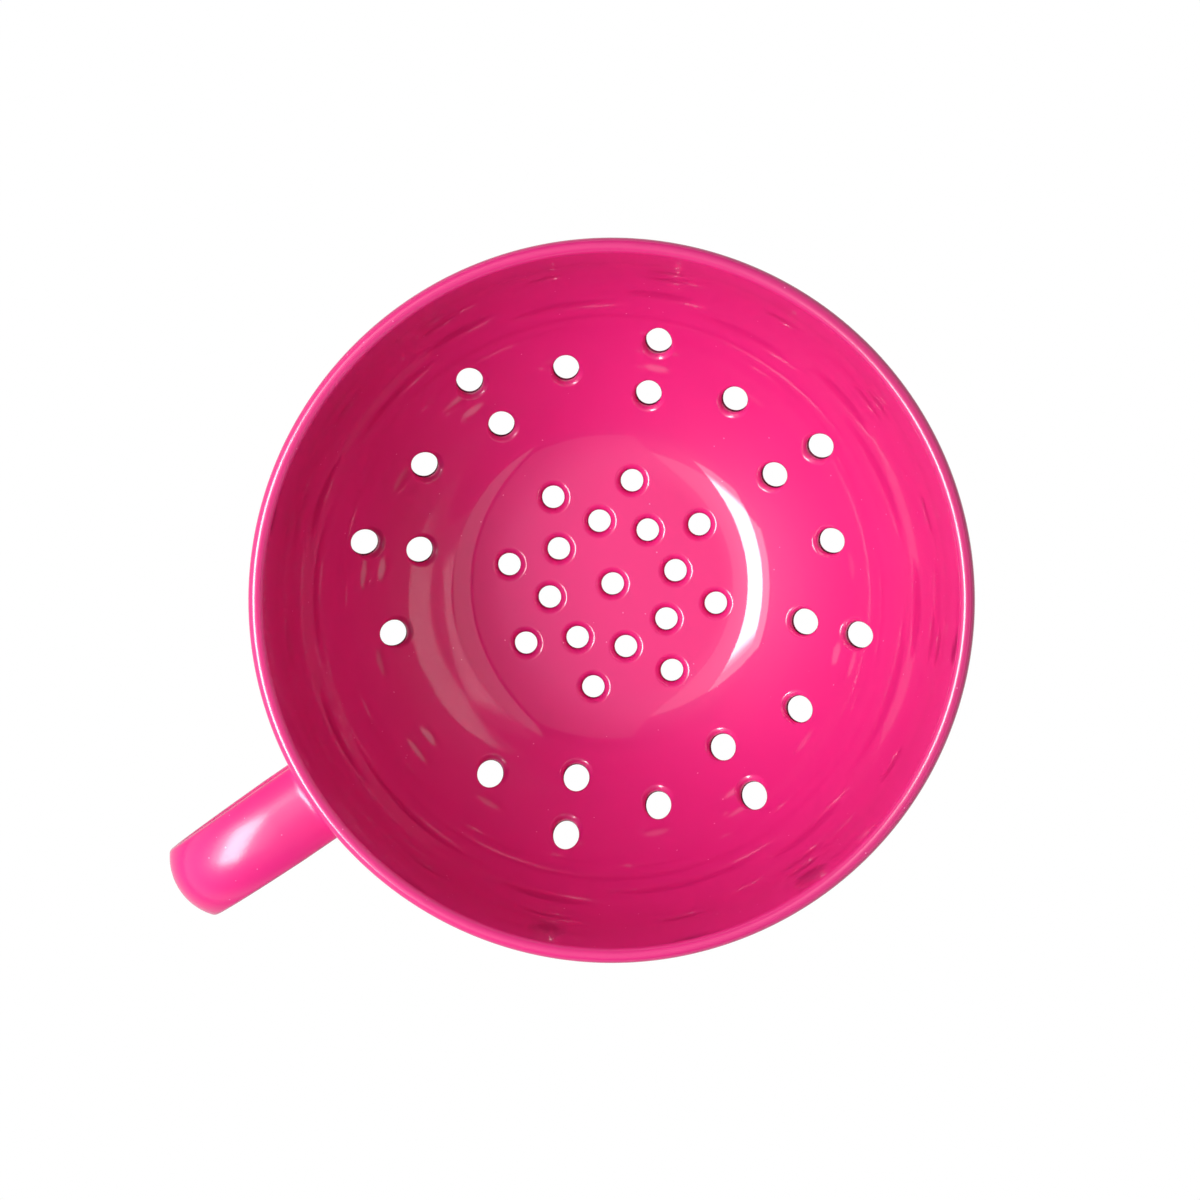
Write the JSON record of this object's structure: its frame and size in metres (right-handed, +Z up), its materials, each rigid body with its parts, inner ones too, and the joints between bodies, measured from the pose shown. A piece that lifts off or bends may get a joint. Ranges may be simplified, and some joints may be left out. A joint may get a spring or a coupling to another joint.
{
  "type": "berry colander bowl",
  "caption": "Deep round moulded berry colander with drain holes through its floor and lower wall, a round lip, a low foot ring and a looped strap handle.",
  "frame": {"origin": "on the bowl's axis, in the plane that the foot ring stands on", "axes": "+Z up along the bowl's axis, +X from the axis through the handle, +Y to the left of the handle seen from above"},
  "size_m": [0.1859, 0.15, 0.0787],
  "materials": {
    "pink_gloss": "gloss"
  },
  "bodies": {
    "root": {"bowl_shell": "pink_gloss", "foot_ring": "pink_gloss", "handle": "pink_gloss"}
  },
  "joints": []
}
